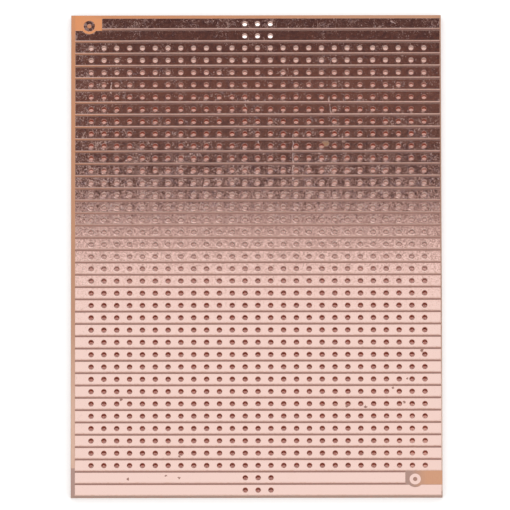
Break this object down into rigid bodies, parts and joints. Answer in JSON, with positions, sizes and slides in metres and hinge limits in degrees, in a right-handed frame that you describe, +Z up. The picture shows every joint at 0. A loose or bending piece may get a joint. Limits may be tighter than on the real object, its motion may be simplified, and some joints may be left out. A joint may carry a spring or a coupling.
{
  "type": "stripboard",
  "caption": "Thin prototyping board with a square grid of small holes and parallel copper strips on one side, one strip along each row of holes.",
  "frame": {"origin": "middle of the board's bare underside", "axes": "+X along the strips, +Y across them towards strip 1, +Z up out of the copper side"},
  "size_m": [0.0734, 0.0994, 0.0015],
  "materials": {
    "board": "phenolic-bonded paper, satin, sawn edges",
    "copper": "bare copper foil, shiny with fine scratches and dull stains"
  },
  "bodies": {
    "root": {"board": "board", "strip_01": "copper", "strip_02": "copper", "strip_03": "copper", "strip_04": "copper", "strip_05": "copper", "strip_06": "copper", "strip_07": "copper", "strip_08": "copper", "strip_09": "copper", "strip_10": "copper", "strip_11": "copper", "strip_12": "copper", "strip_13": "copper", "strip_14": "copper", "strip_15": "copper", "strip_16": "copper", "strip_17": "copper", "strip_18": "copper", "strip_19": "copper", "strip_20": "copper", "strip_21": "copper", "strip_22": "copper", "strip_23": "copper", "strip_24": "copper", "strip_25": "copper", "strip_26": "copper", "strip_27": "copper", "strip_28": "copper", "strip_29": "copper", "strip_30": "copper", "strip_31": "copper", "strip_32": "copper", "strip_33": "copper", "strip_34": "copper", "strip_35": "copper", "strip_36": "copper", "strip_37": "copper", "strip_38": "copper", "strip_39": "copper", "pad_far": "copper", "pad_near": "copper"}
  },
  "joints": []
}
